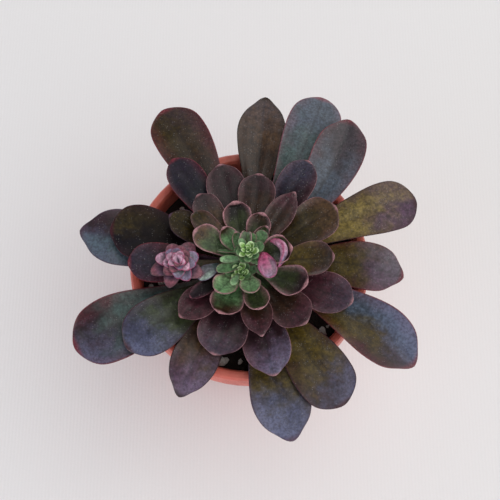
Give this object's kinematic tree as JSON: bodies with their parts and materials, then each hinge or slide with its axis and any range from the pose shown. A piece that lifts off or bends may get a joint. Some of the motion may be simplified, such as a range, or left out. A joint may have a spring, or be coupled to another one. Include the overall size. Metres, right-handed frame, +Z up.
{
  "type": "potted succulent",
  "caption": "Potted succulent: a loose rosette of spoon-shaped leaves with a side shoot, growing from soil in a round, tapered plastic pot with drain holes.",
  "frame": {"origin": "centre of the pot's flat underside, on the surface that the pot stands on", "axes": "+Z up along the pot's axis; -Y towards the side that faces the viewer, with the side shoot on the -X side"},
  "size_m": [0.1551, 0.1613, 0.1287],
  "materials": {
    "pot": "satin terracotta-coloured plastic",
    "soil": "damp peat potting mix with white perlite",
    "stem": "scarred, half woody plant stem",
    "outer_leaf": "satin leaf skin, dark olive and purple with a bluish bloom",
    "middle_leaf": "satin leaf skin, purple-brown with thin pink edges",
    "inner_leaf": "satin leaf skin, green with pink-grey edges",
    "pink_leaf": "young leaf skin, pink and lavender",
    "heart": "growing tip, bright yellow-green"
  },
  "bodies": {
    "root": {"heart_bud_north": "heart", "heart_bud_south": "heart", "heart_leaf_north": "inner_leaf", "heart_leaf_north_east": "inner_leaf", "heart_leaf_north_west": "inner_leaf", "inner_leaf_east": "inner_leaf", "inner_leaf_north": "inner_leaf", "inner_leaf_north_east": "inner_leaf", "inner_leaf_north_west_curled": "inner_leaf", "inner_leaf_south": "inner_leaf", "inner_leaf_south_green": "inner_leaf", "inner_leaf_south_west": "inner_leaf", "inner_leaf_south_west_low": "inner_leaf", "inner_leaf_west": "inner_leaf", "inner_leaf_west_south_west": "inner_leaf", "middle_leaf_east": "middle_leaf", "middle_leaf_east_north_east": "middle_leaf", "middle_leaf_east_south_east": "middle_leaf", "middle_leaf_north": "middle_leaf", "middle_leaf_north_east": "middle_leaf", "middle_leaf_north_east_point": "middle_leaf", "middle_leaf_north_north_west": "middle_leaf", "middle_leaf_north_west": "middle_leaf", "middle_leaf_south": "middle_leaf", "middle_leaf_south_east": "middle_leaf", "middle_leaf_south_point": "middle_leaf", "middle_leaf_south_south_west": "middle_leaf", "middle_leaf_south_west": "middle_leaf", "middle_leaf_west_north_west": "middle_leaf", "middle_leaf_west_sliver": "middle_leaf", "outer_leaf_east": "outer_leaf", "outer_leaf_east_north_east": "outer_leaf", "outer_leaf_north": "outer_leaf", "outer_leaf_north_east_low": "outer_leaf", "outer_leaf_north_east_over": "outer_leaf", "outer_leaf_north_north_west": "outer_leaf", "outer_leaf_north_west": "outer_leaf", "outer_leaf_south": "outer_leaf", "outer_leaf_south_east": "outer_leaf", "outer_leaf_south_east_fold": "outer_leaf", "outer_leaf_south_south_west": "outer_leaf", "outer_leaf_south_west_low": "outer_leaf", "outer_leaf_south_west_over": "outer_leaf", "outer_leaf_west": "outer_leaf", "outer_leaf_west_low": "outer_leaf", "outer_leaf_west_over": "outer_leaf", "pink_leaf_inner": "pink_leaf", "pink_leaf_outer": "pink_leaf", "pot": "pot", "side_shoot_leaf_1": "pink_leaf", "side_shoot_leaf_2": "pink_leaf", "side_shoot_leaf_3": "pink_leaf", "side_shoot_leaf_4": "pink_leaf", "side_shoot_leaf_5": "pink_leaf", "side_shoot_leaf_6": "pink_leaf", "side_shoot_leaf_7": "pink_leaf", "side_shoot_leaf_8": "pink_leaf", "side_stem": "stem", "soil": "soil", "stem": "stem"}
  },
  "joints": []
}
